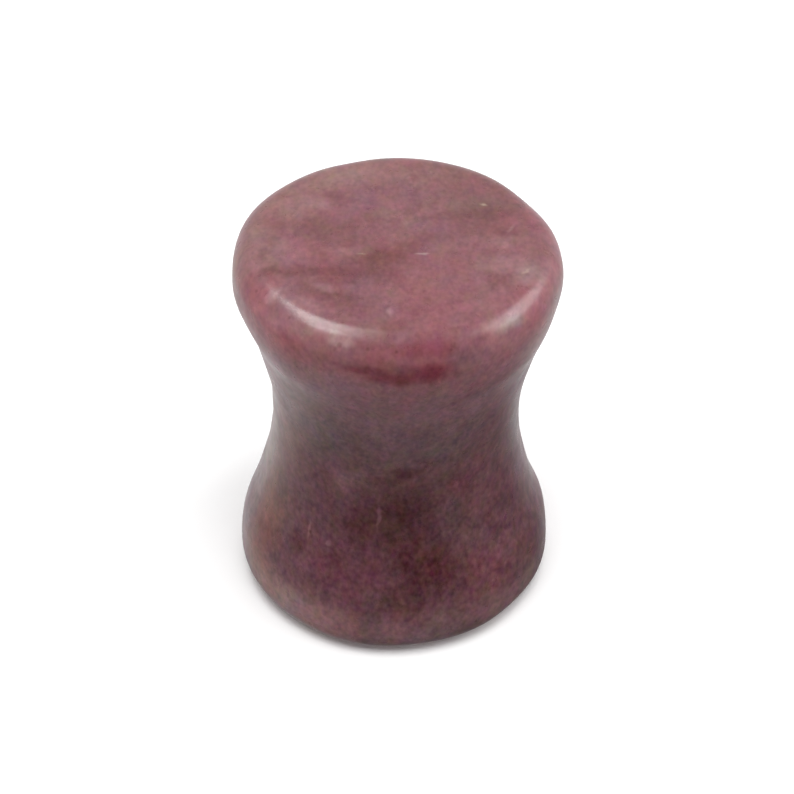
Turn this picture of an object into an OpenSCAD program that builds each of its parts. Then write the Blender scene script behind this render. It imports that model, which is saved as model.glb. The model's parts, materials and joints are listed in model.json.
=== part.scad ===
// Double flared ear plug, ground and polished from one piece of stone.
// Millimetres. It stands on its lower end face, with the origin at the middle of that face.

/* [Waist] */
// Diameter of the waist, where the ear lobe sits: the size the plug is sold by
waist_d = 8; // [6:0.5:16]

/* [Flares] */
// How far each flare stands out past the waist, on one side
flare_step = 1.125; // [0.7:0.025:1.8]
// Distance between the widest rings of the two flares
flare_spacing = 11.25; // [9:0.25:16]
// Radius of the swelling below each widest ring, seen from the side
lip_r = 4.875; // [2:0.125:5]
// Radius of the rounded edge between each widest ring and its end face
shoulder_r = 0.875; // [0.3:0.025:1.2]

/* [Hidden] */
$fn = 144;

waist_r = waist_d / 2;
flare_r = waist_r + flare_step;
// Heights are counted from the middle of the waist
flare_z = flare_spacing / 2;
face_z = flare_z + shoulder_r;
// The hollow of the saddle and the swelling of the lip are two arcs that run smoothly
// into each other. This is how far their common tangent leans out from upright.
lean = 2 * atan(flare_step / flare_z);
saddle_r = flare_z / sin(lean) - lip_r;
// Height at which the saddle ends and the lip begins
meet_z = saddle_r * sin(lean);

// Slab of the half section between two heights. Its outer side is an arc of radius r
// that touches the flare's widest ring.
module round_slab(low, high, r) {
    difference() {
        translate([0, low]) square([flare_r, high - low]);
        difference() {
            translate([flare_r - r, low]) square([r + 1, high - low]);
            translate([flare_r - r, flare_z]) circle(r);
        }
    }
}

// The section from the axis outwards, between the middle of the waist and one end face
module half_section() {
    difference() {
        square([flare_r, meet_z]);
        translate([waist_r + saddle_r, 0]) circle(saddle_r);
    }
    round_slab(meet_z, flare_z, lip_r);
    round_slab(flare_z, face_z, shoulder_r);
}

module stone_plug() {
    color("rosybrown")
    translate([0, 0, face_z])
    rotate_extrude() {
        half_section();
        mirror([0, 1]) half_section();
    }
}

stone_plug();
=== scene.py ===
import json
import math

import bmesh
import bpy
from mathutils import Matrix, Vector, noise


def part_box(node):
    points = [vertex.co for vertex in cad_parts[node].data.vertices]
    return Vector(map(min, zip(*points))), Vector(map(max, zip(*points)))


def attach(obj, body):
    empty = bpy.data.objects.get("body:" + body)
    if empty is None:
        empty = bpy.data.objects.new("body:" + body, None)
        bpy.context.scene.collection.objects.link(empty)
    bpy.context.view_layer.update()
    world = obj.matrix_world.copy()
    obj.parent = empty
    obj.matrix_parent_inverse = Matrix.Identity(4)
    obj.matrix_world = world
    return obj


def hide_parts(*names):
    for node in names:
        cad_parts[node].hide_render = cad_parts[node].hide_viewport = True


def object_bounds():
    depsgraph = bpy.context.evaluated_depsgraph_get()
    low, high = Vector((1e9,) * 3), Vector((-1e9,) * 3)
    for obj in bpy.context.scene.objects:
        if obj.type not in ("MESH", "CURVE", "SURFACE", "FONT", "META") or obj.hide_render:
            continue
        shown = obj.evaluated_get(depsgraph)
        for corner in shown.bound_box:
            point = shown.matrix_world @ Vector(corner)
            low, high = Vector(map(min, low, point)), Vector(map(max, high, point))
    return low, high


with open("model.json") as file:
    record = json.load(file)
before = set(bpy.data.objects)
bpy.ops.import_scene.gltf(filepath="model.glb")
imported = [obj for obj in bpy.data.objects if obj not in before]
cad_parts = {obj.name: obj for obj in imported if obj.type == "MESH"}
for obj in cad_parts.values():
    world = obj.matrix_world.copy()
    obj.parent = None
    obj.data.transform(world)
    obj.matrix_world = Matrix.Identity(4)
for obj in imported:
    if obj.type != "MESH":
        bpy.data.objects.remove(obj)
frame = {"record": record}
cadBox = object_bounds()

# The plug is worked out in millimetres and turned into metres when its mesh is made.
# Turns are in degrees round the plug's axis: 0 is the right side, -90 the front.
mm = 0.001


# The plug's shape

plugShape = {
    "lipR": 4.875,              # swelling between the saddle and the widest ring, from the side
    "faceDish": 0.012,          # the upper end face falls away this much towards its edge
    "around": 360,              # points in each ring
    "ringStep": 0.085,          # distance between rings on the sides
    "faceStep": 0.11,           # and on the end faces
    "rippleHeight": 0.010,      # unevenness left by hand grinding
    "rippleWidth": 2.2,
    # Places where the grinding left the stone proud or low:
    # turn, height, spread in degrees, spread in height, how far out
    "groundSpots": [
        (157, 12.5, 16, 1.0, 0.050),
        (-171, 11.5, 10, 0.7, 0.070),
        (-159, 10.2, 13, 0.8, -0.070),
        (-172, 7.7, 10, 0.7, -0.070),
        (-177, 6.2, 9, 0.4, -0.045),
        (171, 4.0, 8, 0.8, 0.035),
        (163, 2.5, 8, 0.6, -0.040),
        (110, 12.8, 9, 1.0, -0.030),
        (34, 12.6, 15, 1.0, -0.085),
        (-6, 11.9, 8, 0.7, 0.055),
        (-17, 9.0, 10, 1.0, 0.035),
        (7, 4.2, 12, 1.0, 0.035),
        (9, 2.2, 10, 0.7, 0.050),
        (-36, 0.6, 14, 0.8, -0.050),
        (-104, 0.4, 20, 0.8, 0.055),
    ],
    # Small pits in the polish: turn, height, width, depth
    "pits": [
        (-110, 12.62, 0.13, 0.030),
        (-132, 12.78, 0.09, 0.016),
        (-100, 12.64, 0.10, 0.020),
        (-90, 12.62, 0.09, 0.018),
        (-152, 12.75, 0.10, 0.016),
        (-71, 12.55, 0.08, 0.014),
        (64, 12.40, 0.12, 0.026),
        (118, 11.20, 0.10, 0.020),
        (-128, 3.90, 0.10, 0.014),
        (20, 4.40, 0.11, 0.020),
        (170, 2.20, 0.12, 0.024),
    ],
}


def plugSizes():
    saddle = next(m for m in frame["record"]["mounts"] if m["name"] == "lobe_saddle")
    low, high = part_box("stone_plug")
    size = {
        "waistR": saddle["dims"]["r_mm"],
        "flareR": high.x / mm,
        "height": high.z / mm,
        "flareZ": saddle["dims"]["length_mm"] / 2,
    }
    size["shoulderR"] = size["height"] / 2 - size["flareZ"]
    size["faceR"] = size["flareR"] - size["shoulderR"]
    step = size["flareR"] - size["waistR"]
    size["lean"] = 2 * math.atan(step / size["flareZ"])
    size["saddleR"] = size["flareZ"] / math.sin(size["lean"]) - plugShape["lipR"]
    return size


def arc(centre, radius, start, end, step):
    # Points along an arc, its first point left out
    count = max(2, math.ceil(abs(end - start) * radius / step))
    turns = [start + (end - start) * i / count for i in range(1, count + 1)]
    return [(centre[0] + radius * math.cos(t), centre[1] + radius * math.sin(t)) for t in turns]


def halfOutline(size):
    # From the middle of the waist up to the middle of the end face, as (radius, height)
    step, lipR = plugShape["ringStep"], plugShape["lipR"]
    waistR, saddleR, lean = size["waistR"], size["saddleR"], size["lean"]
    flareR, flareZ = size["flareR"], size["flareZ"]
    shoulderR, faceR = size["shoulderR"], size["faceR"]
    line = [(waistR, 0.0)]
    line += arc((waistR + saddleR, 0), saddleR, math.pi, math.pi - lean, step)
    line += arc((flareR - lipR, flareZ), lipR, -lean, 0, step)
    line += arc((faceR, flareZ), shoulderR, 0, math.pi / 2, step)
    count = math.ceil(faceR / plugShape["faceStep"])
    for i in range(1, count):
        line.append((faceR * (1 - i / count), flareZ + shoulderR))
    return line


def turnApart(a, b):
    return (a - b + 180) % 360 - 180


def groundOffset(turn, height, point):
    out = plugShape["rippleHeight"] * noise.noise(point / plugShape["rippleWidth"])
    for spotTurn, spotZ, wide, tall, proud in plugShape["groundSpots"]:
        far = (turnApart(turn, spotTurn) / wide) ** 2 + ((height - spotZ) / tall) ** 2
        out += proud * math.exp(-far)
    return out


def pitDepth(point, pitPlaces):
    deep = 0.0
    for place, width, depth in pitPlaces:
        far = (point - place).length / width
        if far < 1:
            deep += depth * (1 - far * far) ** 2
    return deep


def outlineNormals(line):
    normals = []
    for i in range(len(line)):
        before = line[max(i - 1, 0)]
        after = line[min(i + 1, len(line) - 1)]
        along = Vector((after[0] - before[0], after[1] - before[1])).normalized()
        normals.append((along.y, -along.x))
    return normals


def pointAt(turn, radius, height):
    t = math.radians(turn)
    return Vector((radius * math.cos(t), radius * math.sin(t), height))


def radiusAt(line, height):
    # Radius of the outline's side at a height
    for (r0, z0), (r1, z1) in zip(line, line[1:]):
        if z1 > z0 and z0 <= height <= z1:
            return r0 + (r1 - r0) * (height - z0) / (z1 - z0)
    return line[0][0]


def wholeOutline(size):
    upper = halfOutline(size)
    line = [(r, -z) for r, z in reversed(upper)] + upper[1:]
    return [(r, z + size["height"] / 2) for r, z in line]


def groundPoint(turn, radius, height, normal, size, pitPlaces):
    # A point of the turned outline, moved by what the grinding left
    place = pointAt(turn, radius, height)
    outwards = min(1.0, radius / size["faceR"])     # 0 in the middle of an end face
    lift = groundOffset(turn, height, place) - pitDepth(place, pitPlaces)
    moved = place + pointAt(turn, *normal) * (lift * outwards ** 2)
    if height > size["height"] / 2:
        moved.z -= plugShape["faceDish"] * outwards ** 4
    moved.z = max(moved.z, 0.0)
    return moved


def showMesh(name, bm):
    mesh = bpy.data.meshes.new(name)
    bm.to_mesh(mesh)
    bm.free()
    thing = bpy.data.objects.new(name, mesh)
    bpy.context.scene.collection.objects.link(thing)
    return thing


def makePlug(size):
    line = wholeOutline(size)
    pitPlaces = [(pointAt(t, radiusAt(line, z), z), w, d) for t, z, w, d in plugShape["pits"]]
    around = plugShape["around"]
    turns = [360 * i / around - 180 for i in range(around)]

    bm = bmesh.new()
    rings = []
    for (radius, height), normal in zip(line, outlineNormals(line)):
        points = [groundPoint(turn, radius, height, normal, size, pitPlaces) for turn in turns]
        rings.append([bm.verts.new(point * mm) for point in points])
    for lower, higher in zip(rings, rings[1:]):
        for i in range(around):
            j = (i + 1) % around
            bm.faces.new((lower[i], lower[j], higher[j], higher[i]))
    bottom = bm.verts.new((0, 0, 0))
    top = bm.verts.new((0, 0, size["height"] * mm))
    for i in range(around):
        j = (i + 1) % around
        bm.faces.new((rings[0][j], rings[0][i], bottom))
        bm.faces.new((rings[-1][i], rings[-1][j], top))
    bmesh.ops.recalc_face_normals(bm, faces=bm.faces)
    plug = showMesh("stonePlug", bm)
    for face in plug.data.polygons:
        face.use_smooth = True
    print("plug:", len(plug.data.polygons), "faces")
    return plug


# The stone

stoneColours = {
    "mauve": (0.199, 0.075, 0.087),
    "rose": (0.275, 0.080, 0.098),
    "roseLight": (0.340, 0.110, 0.118),
    "pink": (0.285, 0.115, 0.132),
    "crimson": (0.200, 0.026, 0.046),
    "pinkLight": (0.335, 0.128, 0.146),
    "palePink": (0.340, 0.190, 0.195),
    "lilac": (0.270, 0.122, 0.148),
    "paleGrey": (0.270, 0.185, 0.175),
    "ash": (0.200, 0.110, 0.118),
    "smoke": (0.150, 0.073, 0.080),
    "smokeDark": (0.110, 0.050, 0.055),
    "olive": (0.160, 0.098, 0.076),
    "oliveDark": (0.135, 0.075, 0.062),
    "redBrown": (0.135, 0.040, 0.044),
    "rust": (0.165, 0.050, 0.034),
    "tan": (0.225, 0.108, 0.085),
    "tanPale": (0.260, 0.150, 0.130),
    "plum": (0.130, 0.048, 0.060),
    "wine": (0.125, 0.032, 0.050),
    "wineDark": (0.085, 0.027, 0.034),
    "maroon": (0.068, 0.014, 0.016),
    "fleck": (0.480, 0.360, 0.310),
}

stoneLook = {
    # Colour of the stone by height, from the lower face to the upper one
    "layers": [
        (0.0, "ash"),
        (0.7, "ash"),
        (1.8, "plum"),
        (5.5, "plum"),
        (7.5, "smoke"),
        (10.0, "lilac"),
        (11.6, "pink"),
        (12.4, "pink"),
        (12.9, "mauve"),
    ],
    "wander": (3.5, 1.0),       # over what size, and how far, the layers wander up and down
    # Mottling: what a blotch does to red, green and blue, then its size, shift, and where in the
    # noise it starts and is full
    "mottles": {
        "rosyBlotches": ((1.08, 0.94, 0.97), 1.5, 3.1, 0.46, 0.66),
        "lilacBlotches": ((0.97, 1.02, 1.10), 1.2, 11.7, 0.50, 0.68),
        "oliveBlotches": ((0.95, 1.07, 0.92), 0.9, 23.4, 0.50, 0.70),
        "brownBlotches": ((0.88, 0.82, 0.80), 1.0, 37.9, 0.52, 0.72),
        "paleClouds": ((1.10, 1.16, 1.14), 0.8, 52.6, 0.54, 0.76),
        "wineFlecks": ((0.88, 0.82, 0.86), 0.3, 61.3, 0.56, 0.72),
        "paleFlecks": ((1.10, 1.14, 1.13), 0.25, 70.8, 0.58, 0.74),
    },
    # Grain that shifts light and hue a little everywhere: size, light, hue
    "grains": {
        "coarseGrain": (0.50, 0.14, 0.08),
        "mediumGrain": (0.26, 0.17, 0.17),
        "fineGrain": (0.12, 0.32, 0.13),
    },
    "grainFloor": 0.10,         # grain also shows on the darkest stone
    "grainHeights": (10.5, 12.8),
    "grainStrengths": (1.20, 0.75),     # below the first of these heights, above the second
    "grainStretch": (0.85, 0.60, 0.70),     # blotches and grain are longest along y
    "specular": 0.30,
    "coatWeight": 0.16,         # the polish itself, sharper than the stone under it
    "coatRoughness": 0.20,
    "roughness": (0.27, 0.36),  # of the best and the least polished patches
    "polishPatches": (0.5, 5.0, 0.3, 0.7),  # size, shift, start and full, as in mottles
    "bumpSize": 0.45,
    "bumpHeight": 0.003,
}

# How much finer noise each kind of noise carries
noiseLook = {
    "blotches": {"Detail": 2.0, "Roughness": 0.55},
    "edges": {"Detail": 1.0},
    "grain": {"Detail": 1.0},
    "bump": {"Detail": 2.0},
}
noiseMiddle = 0.5               # noise runs from 0 to 1

# Single marks in the stone and painted highlights, reflections and shade, in millimetres. On the
# sides: turn, height, size round the plug and along its height, colour, strength
sideMarks = {
    "bandHaze": (-88, 12.05, 1.90, 0.35, "rose", 0.60),
    # The crimson band under the upper rim: partly the stone's own colour, partly painted shade
    # under the flare
    "crimsonBandAndShadeLeft": (-101, 11.92, 0.65, 0.14, "crimson", 0.65),
    "crimsonBandAndShadeMiddle": (-91, 11.65, 0.75, 0.24, "crimson", 0.90),
    "crimsonBandAndShadeRight": (-78, 11.85, 0.62, 0.36, "crimson", 1.00),
    "crimsonFront": (-77, 12.65, 1.20, 0.25, "crimson", 0.50),
    "roseRimLeft": (-132, 11.90, 1.60, 0.50, "roseLight", 0.70),
    "roseFlankLeft": (-153, 11.90, 0.90, 0.90, "rose", 0.90),
    "crimsonFlankLeft": (-156, 12.00, 0.50, 0.50, "crimson", 0.45),
    # Painted glint: pale specks on the rim beside the left highlight
    "paintedGlintRimLeft": (-144, 12.84, 0.20, 0.10, "palePink", 0.60),
    # Painted highlight: pale colour along the left highlight on the rim
    "paintedHighlightRimLeft": (-134, 12.55, 0.70, 0.20, "palePink", 0.50),
    "paintedHighlightRimMiddle": (-120, 12.70, 0.50, 0.10, "palePink", 0.50),
    "paintedHighlightRimFront": (-110, 12.66, 0.35, 0.12, "palePink", 0.85),
    "mauveRimRight": (-65, 12.50, 0.60, 0.35, "mauve", 0.70),
    "pinkRimRight": (-44, 11.90, 0.90, 0.36, "pinkLight", 0.80),
    # Painted highlight: pale grey under the right highlight on the rim
    "paintedHighlightRimRight": (-46, 12.62, 0.50, 0.14, "paleGrey", 0.60),
    # Paler stone on the right flank, partly a painted reflection of the bright room at grazing
    # angles
    "paleStoneAndReflectionFlankRight": (-14, 12.00, 1.10, 0.45, "palePink", 1.00),
    "paleUnderRimRight": (-32, 11.25, 0.90, 0.45, "palePink", 1.00),
    "mauveShoulderRight": (-32, 12.88, 1.70, 0.14, "mauve", 0.75),
    "paleUnderRimLeft": (-116, 11.20, 0.90, 0.35, "palePink", 0.50),
    "tanRimLeft": (-178, 12.70, 1.20, 0.70, "tanPale", 0.40),
    # Paler stone along the left outline of the waist, partly a painted reflection of the bright
    # room
    "paleStoneAndReflectionEdgeLeft": (-172, 6.20, 0.85, 2.80, "paleGrey", 0.90),
    "paleWaistLeft": (-156, 8.20, 0.45, 0.80, "palePink", 0.60),
    "rustUnderRimLeft": (-135, 9.40, 1.00, 0.70, "rust", 0.50),
    "oliveWaistLeft": (-125, 9.00, 1.10, 1.30, "olive", 0.40),
    "wineUnderRimRight": (-32, 9.40, 0.90, 0.60, "wine", 0.35),
    # Painted shade: darker colour on the right of the waist, where the table in the plug's shadow
    # is reflected
    "paintedShadeWaistRight": (-42, 7.80, 1.10, 1.20, "wine", 0.50),
    "rustWaistLeft": (-146, 7.20, 0.70, 1.20, "rust", 0.60),
    "smokyBandLeft": (-115, 8.10, 1.60, 0.70, "smoke", 0.60),
    "smokyBandRight": (-75, 8.30, 1.40, 0.60, "smoke", 0.50),
    "lilacPatch": (-114, 6.50, 0.65, 0.50, "lilac", 0.30),
    "smokeSpot": (-84, 6.30, 0.35, 0.25, "smoke", 0.70),
    "maroonLine": (-86, 6.98, 0.48, 0.19, "maroon", 0.80),
    "maroonLineMiddle": (-91, 6.70, 0.35, 0.14, "maroon", 0.60),
    "maroonLineEnd": (-98, 6.55, 0.50, 0.16, "maroon", 0.50),
    "wineSpotHigh": (-58, 6.10, 0.50, 0.30, "wine", 0.60),
    "heart": (-87, 4.70, 1.40, 1.40, "maroon", 0.75),
    "heartTop": (-86, 5.60, 0.75, 0.65, "maroon", 0.65),
    "heartLeft": (-107, 4.75, 0.42, 0.65, "maroon", 0.75),
    "wineFlareLeft": (-112, 3.40, 1.10, 0.90, "wine", 0.55),
    "maroonSpotHigh": (-120, 5.20, 0.22, 0.22, "maroon", 0.50),
    "maroonLow": (-78, 3.30, 0.80, 1.00, "maroon", 0.75),
    "maroonEdge": (-69, 3.60, 0.35, 0.85, "maroon", 0.60),
    "smokeRight": (-57, 4.45, 0.80, 1.05, "smokeDark", 0.70),
    "wineFarRight": (-32, 4.20, 0.80, 1.20, "wineDark", 0.60),
    "maroonLowRight": (-63, 2.75, 0.60, 0.60, "maroon", 0.55),
    # Painted shade: the lower right edge darkened, where the table in the plug's shadow is
    # reflected
    "paintedShadeEdgeRight": (-16, 2.10, 1.20, 1.60, "wineDark", 0.65),
    "maroonSpotLeft": (-134, 3.35, 0.30, 0.35, "maroon", 0.60),
    "rustLeft": (-154, 3.60, 0.80, 1.80, "rust", 0.85),
    "maroonSpotFarLeft": (-151, 4.50, 0.35, 0.50, "maroon", 0.60),
    "tanLowLeft": (-142, 1.20, 1.00, 0.50, "tan", 0.80),
    "rustLowLeft": (-154, 1.70, 1.10, 0.50, "rust", 0.85),
    "paleLowLeft": (-126, 0.95, 1.60, 0.80, "palePink", 0.70),
    "smokeLowRight": (-60, 0.75, 0.50, 0.30, "smokeDark", 0.60),
    "maroonLowFront": (-85, 2.35, 1.20, 0.50, "maroon", 0.50),
    "wineLowLeft": (-107, 2.90, 0.90, 0.60, "wine", 0.45),
    "paleScratchLeft": (-129, 4.00, 0.04, 0.30, "palePink", 0.28),
    "paleScratchMiddle": (-97, 5.20, 0.05, 0.45, "lilac", 0.35),
    "paleDotLow": (-117, 3.75, 0.08, 0.08, "lilac", 0.50),
}

# On the upper face: x, y, size along the streak and across it, lean in degrees, colour, strength
faceMarks = {
    "streakLeft": (-2.90, -1.55, 1.20, 0.26, 5, "redBrown", 0.75),
    "streakBend": (-1.50, -1.65, 1.00, 0.32, 8, "redBrown", 0.85),
    "streakMiddle": (-0.55, -0.85, 0.95, 0.50, 15, "redBrown", 0.95),
    "streakRight": (0.55, -0.15, 1.10, 0.32, 30, "redBrown", 0.45),
    "streakFaint": (-1.70, -2.10, 0.90, 0.15, 0, "redBrown", 0.45),
    "redUpperLeft": (-2.55, 0.60, 1.30, 0.80, 0, "redBrown", 0.45),
    "streakUpper": (-1.10, -0.15, 0.75, 0.28, 10, "redBrown", 0.50),
    "brownLowLeft": (-1.90, -2.85, 1.10, 0.45, -25, "redBrown", 0.70),
    "brownUpperRight": (2.60, 1.60, 1.10, 0.55, 10, "redBrown", 0.80),
    "redRight": (2.80, 0.70, 1.10, 0.40, 0, "redBrown", 0.40),
    "redFront": (-0.40, -1.65, 0.55, 0.35, 10, "redBrown", 0.70),
    "oliveUpperRight": (2.30, 2.40, 1.30, 0.80, 0, "oliveDark", 0.45),
    "oliveBackRight": (1.50, 3.85, 1.00, 0.50, -10, "oliveDark", 0.50),
    "oliveMiddle": (-0.50, 1.40, 0.35, 0.30, 0, "olive", 0.45),
    "palePatchFarRight": (4.00, -1.50, 0.65, 0.38, 60, "paleGrey", 0.50),
    "paleCloudRight": (3.20, -1.05, 0.70, 0.42, 0, "palePink", 0.30),
    "paleFrontLeft": (-2.85, -3.20, 0.50, 0.30, -35, "palePink", 0.25),
    "paleFarLeft": (-3.60, 1.70, 0.80, 0.70, 20, "tanPale", 0.45),
    "tanBackLeft": (-2.20, 3.40, 1.40, 0.60, 25, "tanPale", 0.40),
    "tanBack": (-0.60, 3.80, 2.00, 0.70, 0, "tanPale", 0.30),
    "palePatchUpperLeft": (-2.55, 2.00, 0.50, 0.28, 0, "palePink", 0.25),
    "palePatchRight": (3.05, 0.10, 0.55, 0.28, 0, "palePink", 0.25),
    "paleCloudLeft": (-1.70, -0.50, 0.50, 0.25, 0, "palePink", 0.18),
    "paleSpotLowLeft": (-2.15, -2.35, 0.30, 0.20, -15, "palePink", 0.30),
    "yellowFleck": (2.80, 2.05, 0.12, 0.07, 0, "fleck", 0.35),
    "whiteCrack": (0.75, -0.62, 0.16, 0.04, -5, "fleck", 0.35),
    "whiteCrackLeft": (-1.20, -0.65, 0.14, 0.05, 10, "fleck", 0.20),
    "brightScratch": (3.90, -1.40, 0.18, 0.06, 50, "fleck", 0.28),
    "faintScratch": (3.50, 0.75, 0.22, 0.05, 60, "fleck", 0.16),
    "paleSpotFront": (-0.20, -3.50, 0.12, 0.12, 0, "palePink", 0.35),
    "darkDotLeft": (-2.05, 0.30, 0.05, 0.05, 0, "maroon", 0.50),
}
markLook = {
    "edge": 1.75,               # a mark has faded out at this many times its size
    "soft": 0.86,               # 0 is a hard edge, 1 fades all the way from the middle
    # Marks have ragged edges: over what size, and how far, these wander
    "ragged": (0.9, 0.45),
    "fineRagged": (0.25, 0.15),
    "sideDepth": 1.5,           # how deep a mark goes into the stone from the side
    "faceDepth": 0.8,           # and from the upper face
    "pitColour": "maroon",
    "pitSpread": 0.55,          # of the pit's own width
    "pitStrength": 0.45,
}


def addNode(tree, kind, inputs, **options):
    # An input that is given a socket is linked to it, and any other is set to its value
    made = tree.nodes.new("ShaderNode" + kind)
    for name, value in options.items():
        setattr(made, name, value)
    for name, value in inputs.items():
        if isinstance(value, bpy.types.NodeSocket):
            tree.links.new(value, made.inputs[name])
        else:
            made.inputs[name].default_value = value
    return made


def cloudNode(tree, position, size, look):
    # Noise with lumps of about this size
    finer = addNode(tree, "Math", {0: 1.0, 1: size}, operation="DIVIDE")
    return addNode(tree, "TexNoise", {"Vector": position, "Scale": finer.outputs[0], **look})


def newGroup(name, inputs, outputs):
    group = bpy.data.node_groups.new(name, "ShaderNodeTree")
    for socket, kind in inputs.items():
        group.interface.new_socket(socket, in_out="INPUT", socket_type="NodeSocket" + kind)
    for socket, kind in outputs.items():
        group.interface.new_socket(socket, in_out="OUTPUT", socket_type="NodeSocket" + kind)
    given = group.nodes.new("NodeGroupInput").outputs
    result = group.nodes.new("NodeGroupOutput").inputs
    return group, given, result


def mottleGroup():
    # Cloudy blotches of one size
    inputs = {"Position": "Vector", "Size": "Float", "Shift": "Float", "Start": "Float",
              "Full": "Float"}
    group, given, result = newGroup("stoneMottle", inputs, {"Mask": "Float"})
    moved = addNode(group, "VectorMath", {0: given["Position"], 1: given["Shift"]}, operation="ADD")
    cloud = cloudNode(group, moved.outputs[0], given["Size"], noiseLook["blotches"])
    fade = addNode(group, "MapRange", {"Value": cloud.outputs["Fac"], "From Min": given["Start"],
                                       "From Max": given["Full"]}, interpolation_type="SMOOTHSTEP")
    group.links.new(fade.outputs["Result"], result["Mask"])
    return group


def markGroup():
    # One mark: a turned ellipsoid that fades out towards its edge. Soft is the part that fades.
    inputs = {"Position": "Vector", "Centre": "Vector", "Turn": "Vector", "Size": "Vector",
              "Soft": "Float", "Strength": "Float"}
    group, given, result = newGroup("stoneMark", inputs, {"Mask": "Float"})
    local = addNode(group, "Mapping", {"Vector": given["Position"], "Location": given["Centre"],
                                       "Rotation": given["Turn"], "Scale": given["Size"]},
                    vector_type="TEXTURE")
    near = addNode(group, "TexGradient", {"Vector": local.outputs[0]}, gradient_type="SPHERICAL")
    fade = addNode(group, "MapRange", {"Value": near.outputs["Fac"], "From Max": given["Soft"],
                                       "To Max": given["Strength"]},
                   interpolation_type="SMOOTHSTEP")
    group.links.new(fade.outputs["Result"], result["Mask"])
    return group


def wanderGroup():
    # Moves a position about, so that edges that depend on it come out ragged
    inputs = {"Position": "Vector", "Size": "Float", "Amount": "Float"}
    group, given, result = newGroup("stoneWander", inputs, {"Position": "Vector"})
    cloud = cloudNode(group, given["Position"], given["Size"], noiseLook["edges"])
    centred = addNode(group, "VectorMath", {0: cloud.outputs["Color"], 1: [noiseMiddle] * 3},
                      operation="SUBTRACT")
    push = addNode(group, "VectorMath", {0: centred.outputs[0], "Scale": given["Amount"]},
                   operation="SCALE")
    moved = addNode(group, "VectorMath", {0: given["Position"], 1: push.outputs[0]},
                    operation="ADD")
    group.links.new(moved.outputs[0], result["Position"])
    return group


def grainGroup():
    # Small random shifts of light and hue round a colour
    inputs = {"Colour": "Color", "Position": "Vector", "Size": "Float", "Light": "Float",
              "Hue": "Float", "Floor": "Float", "Strength": "Float"}
    group, given, result = newGroup("stoneGrain", inputs, {"Colour": "Color"})
    cloud = cloudNode(group, given["Position"], given["Size"], noiseLook["grain"])
    hues = addNode(group, "VectorMath", {0: cloud.outputs["Color"], 1: [noiseMiddle] * 3},
                   operation="SUBTRACT")
    hues = addNode(group, "VectorMath", {0: hues.outputs[0], "Scale": given["Hue"]},
                   operation="SCALE")
    light = addNode(group, "Math", {0: cloud.outputs["Fac"], 1: noiseMiddle}, operation="SUBTRACT")
    light = addNode(group, "Math", {0: light.outputs[0], 1: given["Light"]}, operation="MULTIPLY")
    shift = addNode(group, "VectorMath", {0: hues.outputs[0], 1: light.outputs[0]}, operation="ADD")
    lifted = addNode(group, "VectorMath", {0: given["Colour"], 1: given["Floor"]}, operation="ADD")
    lifted = addNode(group, "VectorMath", {0: lifted.outputs[0], "Scale": given["Strength"]},
                     operation="SCALE")
    shifted = addNode(group, "VectorMath", {0: lifted.outputs[0], 1: shift.outputs[0],
                                            2: given["Colour"]}, operation="MULTIPLY_ADD")
    group.links.new(shifted.outputs[0], result["Colour"])
    return group


def mixOver(tree, under, colour, mask, blend="MIX"):
    # 0, 6 and 7 are the Mix node's factor and its two colours, and 2 is its colour result
    mix = addNode(tree, "Mix", {0: mask, 6: under, 7: (*colour, 1)}, data_type="RGBA",
                  blend_type=blend)
    return mix.outputs[2]


def placeGroup(tree, group, inputs):
    return addNode(tree, "Group", inputs, node_tree=group).outputs[0]


def wanderFrom(tree, wander, position, look):
    size, amount = look
    return placeGroup(tree, wander, {"Position": position, "Size": size, "Amount": amount})


def mottleMask(tree, mottle, position, look):
    size, shift, start, full = look
    return placeGroup(tree, mottle, {"Position": position, "Size": size, "Shift": shift,
                                     "Start": start, "Full": full})


def newMaterial(name):
    material = bpy.data.materials.new(name)
    material.use_nodes = True
    return material, material.node_tree.nodes["Principled BSDF"]


def layerColours(tree, height, plugHeight):
    # The stone's colour by height, under all marks
    share = addNode(tree, "Math", {0: height, 1: plugHeight}, operation="DIVIDE")
    ramp = addNode(tree, "ValToRGB", {"Fac": share.outputs[0]})
    layers = stoneLook["layers"]
    while len(ramp.color_ramp.elements) < len(layers):
        ramp.color_ramp.elements.new(1.0)
    for element, (z, name) in zip(ramp.color_ramp.elements, layers):
        element.position = z / plugHeight
        element.color = (*stoneColours[name], 1)
    return ramp.outputs["Color"]


def listMarks(size, ragged, smooth):
    # Each mark: the position that it reads, centre, turn, size each way, colour and strength.
    # Only the marks in the pits have smooth edges.
    line = wholeOutline(size)
    marks = []
    for turn, z, wide, tall, name, strength in sideMarks.values():
        centre = pointAt(turn, radiusAt(line, z), z)
        marks.append((ragged, centre, turn, (markLook["sideDepth"], wide, tall), name, strength))
    for x, y, along, wide, lean, name, strength in faceMarks.values():
        centre = (x, y, size["height"])
        marks.append((ragged, centre, lean, (along, wide, markLook["faceDepth"]), name, strength))
    for turn, z, wide, _ in plugShape["pits"]:
        centre = pointAt(turn, radiusAt(line, z), z)
        spread = [wide * markLook["pitSpread"]] * 3
        marks.append((smooth, centre, 0, spread, markLook["pitColour"], markLook["pitStrength"]))
    return marks


def markColours(tree, colour, marks):
    mark = markGroup()
    for position, centre, turn, spread, name, strength in marks:
        mask = placeGroup(tree, mark, {"Position": position, "Centre": centre,
                                       "Turn": (0, 0, math.radians(turn)),
                                       "Size": [s * markLook["edge"] for s in spread],
                                       "Soft": markLook["soft"], "Strength": strength})
        colour = mixOver(tree, colour, stoneColours[name], mask)
    return colour


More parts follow.
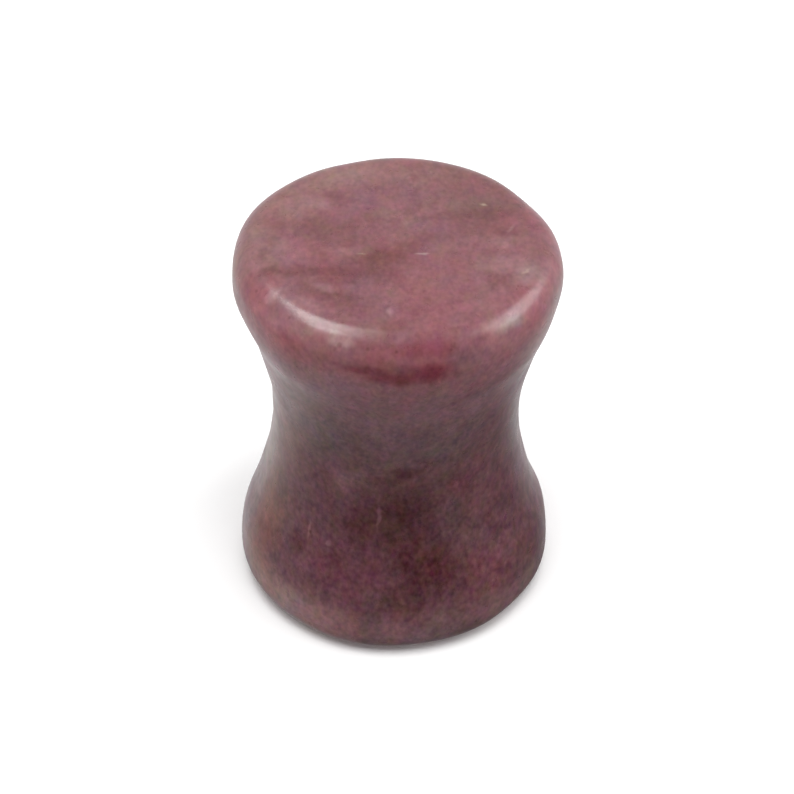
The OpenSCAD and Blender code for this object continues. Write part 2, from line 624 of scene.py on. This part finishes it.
def grainColours(tree, colour, mottle, position, height):
    # Blotches and grain, over the layers and the marks
    for tint, *look in stoneLook["mottles"].values():
        mask = mottleMask(tree, mottle, position, look)
        colour = mixOver(tree, colour, tint, mask, "MULTIPLY")
    low, high = stoneLook["grainHeights"]
    onSides, onFace = stoneLook["grainStrengths"]
    strength = addNode(tree, "MapRange", {"Value": height, "From Min": low, "From Max": high,
                                          "To Min": onSides, "To Max": onFace})
    grain = grainGroup()
    for size, light, hue in stoneLook["grains"].values():
        colour = placeGroup(tree, grain, {"Colour": colour, "Position": position, "Size": size,
                                          "Light": light, "Hue": hue,
                                          "Floor": stoneLook["grainFloor"],
                                          "Strength": strength.outputs["Result"]})
    return colour


def polishSurface(tree, shader, mottle, position):
    # Patches that are polished more and less, and the waviness that hand polishing leaves
    patches = mottleMask(tree, mottle, position, stoneLook["polishPatches"])
    best, least = stoneLook["roughness"]
    rough = addNode(tree, "MapRange", {"Value": patches, "To Min": best, "To Max": least})
    tree.links.new(rough.outputs["Result"], shader.inputs["Roughness"])
    wave = addNode(tree, "TexNoise", {"Vector": position, "Scale": 1 / stoneLook["bumpSize"],
                                      **noiseLook["bump"]})
    bump = addNode(tree, "Bump", {"Height": wave.outputs["Fac"],
                                  "Distance": stoneLook["bumpHeight"] * mm})
    tree.links.new(bump.outputs["Normal"], shader.inputs["Normal"])
    shader.inputs["Specular IOR Level"].default_value = stoneLook["specular"]
    shader.inputs["Coat Weight"].default_value = stoneLook["coatWeight"]
    shader.inputs["Coat Roughness"].default_value = stoneLook["coatRoughness"]


def makeStone(size):
    material, shader = newMaterial("polishedStone")
    tree = material.node_tree
    mottle, wander = mottleGroup(), wanderGroup()
    place = addNode(tree, "TexCoord", {})
    inMm = addNode(tree, "VectorMath", {0: place.outputs["Object"], "Scale": 1 / mm},
                   operation="SCALE")
    position = inMm.outputs[0]
    ragged = wanderFrom(tree, wander, position, markLook["ragged"])
    ragged = wanderFrom(tree, wander, ragged, markLook["fineRagged"])
    stretched = addNode(tree, "VectorMath", {0: position, 1: stoneLook["grainStretch"]},
                        operation="MULTIPLY")
    wandered = wanderFrom(tree, wander, ragged, stoneLook["wander"])
    height = addNode(tree, "SeparateXYZ", {"Vector": wandered}).outputs["Z"]

    colour = layerColours(tree, height, size["height"])
    marks = listMarks(size, ragged, position)
    colour = markColours(tree, colour, marks)
    colour = grainColours(tree, colour, mottle, stretched.outputs[0], height)
    tree.links.new(colour, shader.inputs["Base Color"])
    polishSurface(tree, shader, mottle, position)
    print("stone:", len(marks), "marks,", len(tree.nodes), "nodes")
    return material


# Floor, lights and camera

floorLook = {
    "size": 3.0,
    "colour": (0.98, 0.98, 0.98, 1),
    "roughness": 0.6,
}

white = (1.0, 1.0, 1.0)
lessPink = (0.93, 1.0, 0.96)    # keeps the highlights pale over the pink stone

# turn and elevation say where each light stands, seen from the plug. A light can show as a
# highlight on the polish, or only light the stone evenly, or both.
lightSet = {
    "softboxLeft": {"turn": 159, "elevation": 65, "distance": 0.5, "wide": 0.38, "tall": 0.17,
                    "power": 2.6, "colour": lessPink, "inHighlights": True, "onSurfaces": False},
    "softboxRight": {"turn": 11, "elevation": 38, "distance": 0.5, "wide": 0.38, "tall": 0.26,
                     "power": 2.1, "colour": lessPink, "inHighlights": True, "onSurfaces": False},
    "fillRight": {"turn": 0, "elevation": 24, "distance": 0.5, "wide": 0.40, "tall": 0.30,
                  "power": 1.0, "colour": white, "inHighlights": False, "onSurfaces": True},
    "fillLeft": {"turn": -150, "elevation": 5, "distance": 0.5, "wide": 0.40, "tall": 0.30,
                 "power": 0.35, "colour": white, "inHighlights": False, "onSurfaces": True},
    "overhead": {"turn": -88, "elevation": 78, "distance": 0.6, "wide": 0.5, "tall": 0.4,
                 "power": 3.4, "colour": white, "inHighlights": False, "onSurfaces": True},
}

# The table reflected in the polish gets darker close to the plug and in its shadow on the right:
# middle of each dark place in millimetres, how dark, and how far out it starts and ends to fade
tableShade = {
    "contact": {"at": (0, 0), "strength": 0.55, "fade": (5.0, 6.2)},
    "shadow": {"at": (8, -1), "strength": 0.45, "fade": (1.1, 8.8)},
}

# How bright the room is around the plug, above and below the horizon. It is brightest behind
# the plug to the left, and dim on the other side.
roomGlow = {
    "brightTurn": 115,
    "above": {"dim": 0.35, "bright": 0.7},
    "below": {"dim": 0.36, "bright": 0.9},
    "fade": (0.0, 0.65),        # towards brightTurn is 1, away from it -1
    "horizon": 0.08,            # how far each side of the horizon the two halves blend
}

cameraPlace = {
    "elevation": 40.07,         # degrees above the floor
    "distance": 0.0891,         # from the middle of the plug
    "scale": 30783,             # pixels to the metre at that distance
    "picture": 794,             # the photograph's width in pixels
    "sensor": 36,               # millimetres
    "clip": (0.005, 20),        # metres
    "roll": 0.855,
    "aimRight": 0.025,          # degrees from the middle of the plug to the middle of the picture
    "aimUp": 0.109,
}


def fadeNode(tree, value, start, end, low, high):
    fade = addNode(tree, "MapRange", {"Value": value, "From Min": start, "From Max": end,
                                      "To Min": low, "To Max": high},
                   interpolation_type="SMOOTHSTEP")
    return fade.outputs["Result"]


def makeFloor():
    # The camera sees a pale floor. The polish sees through it to the room's glow, darkened
    # where the plug keeps the light away.
    material, shader = newMaterial("paleFloor")
    tree = material.node_tree
    shader.inputs["Base Color"].default_value = floorLook["colour"]
    shader.inputs["Roughness"].default_value = floorLook["roughness"]
    place = addNode(tree, "NewGeometry", {}).outputs["Position"]
    glow = 1.0
    for shade in tableShade.values():
        centre = (shade["at"][0] * mm, shade["at"][1] * mm, 0)
        far = addNode(tree, "VectorMath", {0: place, 1: centre}, operation="DISTANCE")
        start, end = shade["fade"]
        lit = fadeNode(tree, far.outputs["Value"], start * mm, end * mm, 1 - shade["strength"], 1.0)
        glow = addNode(tree, "Math", {0: glow, 1: lit}, operation="MULTIPLY").outputs[0]
    through = addNode(tree, "BsdfTransparent", {"Color": glow})
    rays = addNode(tree, "LightPath", {})
    both = addNode(tree, "MixShader", {0: rays.outputs["Is Camera Ray"], 1: through.outputs[0],
                                       2: shader.outputs[0]})
    tree.links.new(both.outputs[0], tree.nodes["Material Output"].inputs["Surface"])
    half = floorLook["size"] / 2
    corners = ((-half, -half, 0), (half, -half, 0), (half, half, 0), (-half, half, 0))
    bm = bmesh.new()
    bm.faces.new([bm.verts.new(corner) for corner in corners])
    floor = showMesh("floor", bm)
    floor.data.materials.append(material)
    floor.visible_diffuse = False       # what the plug gets from below comes from roomGlow


def makeRoom():
    world = bpy.data.worlds.new("studio")
    world.use_nodes = True
    tree = world.node_tree
    direction = addNode(tree, "TexCoord", {}).outputs["Generated"]
    split = addNode(tree, "SeparateXYZ", {"Vector": direction})
    rays = addNode(tree, "LightPath", {})
    towards = addNode(tree, "VectorMath", {0: direction, 1: pointAt(roomGlow["brightTurn"], 1, 0)},
                      operation="DOT_PRODUCT")
    halves = {}
    for half in ("above", "below"):
        glow = roomGlow[half]
        halves[half] = fadeNode(tree, towards.outputs["Value"], *roomGlow["fade"],
                                glow["dim"], glow["bright"])
    horizon = roomGlow["horizon"]
    around = fadeNode(tree, split.outputs["Z"], -horizon, horizon, halves["below"], halves["above"])
    seen = fadeNode(tree, rays.outputs["Is Camera Ray"], 0.0, 1.0, around, 1.0)
    tree.links.new(seen, tree.nodes["Background"].inputs["Strength"])
    tree.nodes["Background"].inputs["Color"].default_value = (1, 1, 1, 1)
    bpy.context.scene.world = world


def makeLights(target):
    for name, spec in lightSet.items():
        light = bpy.data.lights.new(name, "AREA")
        light.shape = "RECTANGLE"
        light.size = spec["wide"]
        light.size_y = spec["tall"]
        light.energy = spec["power"]
        light.color = spec["colour"]
        lamp = bpy.data.objects.new(name, light)
        t, e = math.radians(spec["turn"]), math.radians(spec["elevation"])
        outward = Vector((math.cos(t) * math.cos(e), math.sin(t) * math.cos(e), math.sin(e)))
        lamp.location = target + outward * spec["distance"]
        lamp.rotation_euler = outward.to_track_quat("Z", "Y").to_euler()
        lamp.visible_diffuse = spec["onSurfaces"]
        lamp.visible_glossy = spec["inHighlights"]
        bpy.context.scene.collection.objects.link(lamp)
    makeRoom()
    print("lights:", len(lightSet))


def makeCamera(target):
    data = bpy.data.cameras.new("camera")
    data.sensor_width = cameraPlace["sensor"]
    lensInPixels = cameraPlace["scale"] * cameraPlace["distance"]
    data.lens = lensInPixels * data.sensor_width / cameraPlace["picture"]
    data.clip_start, data.clip_end = cameraPlace["clip"]
    camera = bpy.data.objects.new("camera", data)
    e = math.radians(cameraPlace["elevation"])
    back = Vector((0, -math.cos(e), math.sin(e)))
    turn = back.to_track_quat("Z", "Y").to_matrix().to_4x4()
    turn = turn @ Matrix.Rotation(-math.radians(cameraPlace["aimRight"]), 4, "Y")
    turn = turn @ Matrix.Rotation(math.radians(cameraPlace["aimUp"]), 4, "X")
    turn = turn @ Matrix.Rotation(math.radians(cameraPlace["roll"]), 4, "Z")
    camera.matrix_world = Matrix.Translation(target + back * cameraPlace["distance"]) @ turn
    bpy.context.scene.collection.objects.link(camera)
    bpy.context.scene.camera = camera
    print("camera: lens", round(data.lens, 1))


middle = (cadBox[0] + cadBox[1]) / 2
makeCamera(middle)
makeFloor()
makeLights(middle)
plugSize = plugSizes()
plug = makePlug(plugSize)
plug.data.materials.append(makeStone(plugSize))
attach(plug, "root")
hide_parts("stone_plug")
bpy.context.scene.view_settings.view_transform = "Standard"
